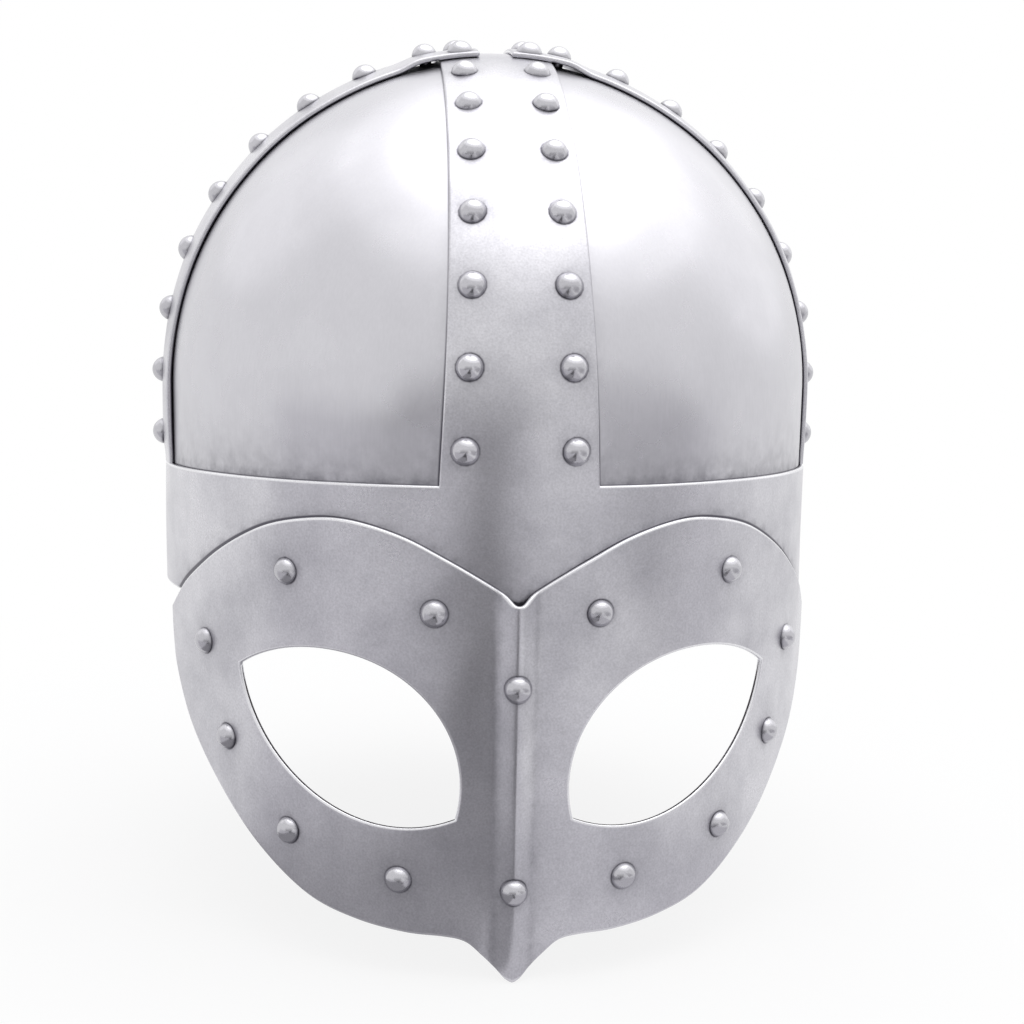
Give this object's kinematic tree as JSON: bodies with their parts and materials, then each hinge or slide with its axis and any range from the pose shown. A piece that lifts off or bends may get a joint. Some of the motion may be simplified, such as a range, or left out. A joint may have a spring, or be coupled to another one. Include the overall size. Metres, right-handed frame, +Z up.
{
  "type": "spectacle helmet",
  "caption": "Riveted steel spectacle helmet: oval two-part skull under crossing straps, brow band, eye mask with a nose ridge, and a leather head suspension.",
  "frame": {"origin": "middle of the head opening, on the skull's axis, level with the front lower edge of the brow band", "axes": "+Z up along the skull's axis, -Y to the front, +X to the right as seen from the front"},
  "size_m": [0.2096, 0.2372, 0.2598],
  "materials": {
    "band_steel": "satin",
    "skull_steel": "satin",
    "mask_steel": "satin",
    "rivet_steel": "polished",
    "liner_leather": "matte"
  },
  "bodies": {
    "root": {"brow_band": "band_steel", "long_strap": "band_steel", "left_side_strap": "band_steel", "right_side_strap": "band_steel", "left_skull_half": "skull_steel", "right_skull_half": "skull_steel", "spectacle_mask": "mask_steel", "front_strap_rivets": "rivet_steel", "rear_strap_rivets": "rivet_steel", "left_strap_rivets": "rivet_steel", "right_strap_rivets": "rivet_steel", "crown_rivets": "rivet_steel", "mask_brow_rivets": "rivet_steel", "mask_rim_rivets": "rivet_steel", "nose_rivets": "rivet_steel", "rear_brow_rivets": "rivet_steel", "liner_headband": "liner_leather", "liner_long_strap": "liner_leather", "liner_cross_strap": "liner_leather", "liner_crown_rivet": "rivet_steel"}
  },
  "joints": []
}
